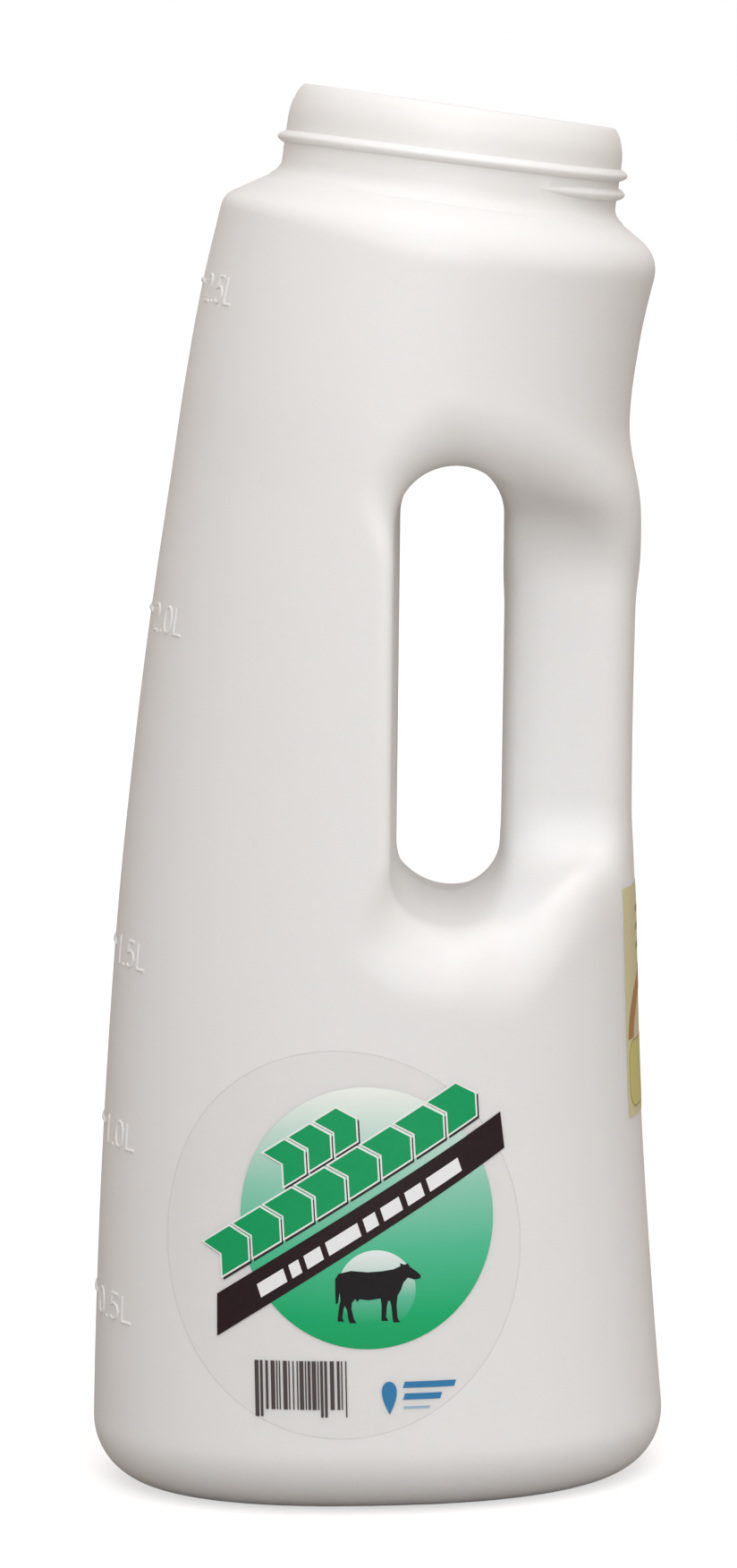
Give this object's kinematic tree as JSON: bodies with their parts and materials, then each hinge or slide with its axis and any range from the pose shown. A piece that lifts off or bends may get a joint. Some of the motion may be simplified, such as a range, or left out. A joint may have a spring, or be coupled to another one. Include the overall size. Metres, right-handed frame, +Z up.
{
  "type": "calf drench bottle",
  "caption": "Translucent blow-moulded bottle with an oval body, a hollow grip with a finger hole in one end, and a leaning wide screw neck.",
  "frame": {"origin": "middle of the flat base, on the surface the bottle stands on", "axes": "+X from the graduated end towards the grip end, front label on -Y, +Z up"},
  "size_m": [0.1417, 0.1108, 0.3378],
  "materials": {
    "hdpe": "natural translucent polyethylene, satin",
    "front_film": "printed clear film, semi-gloss",
    "side_film": "printed pale yellow film, semi-gloss"
  },
  "bodies": {
    "root": {"bottle": "hdpe", "front_label": "front_film", "side_label": "side_film"}
  },
  "joints": []
}
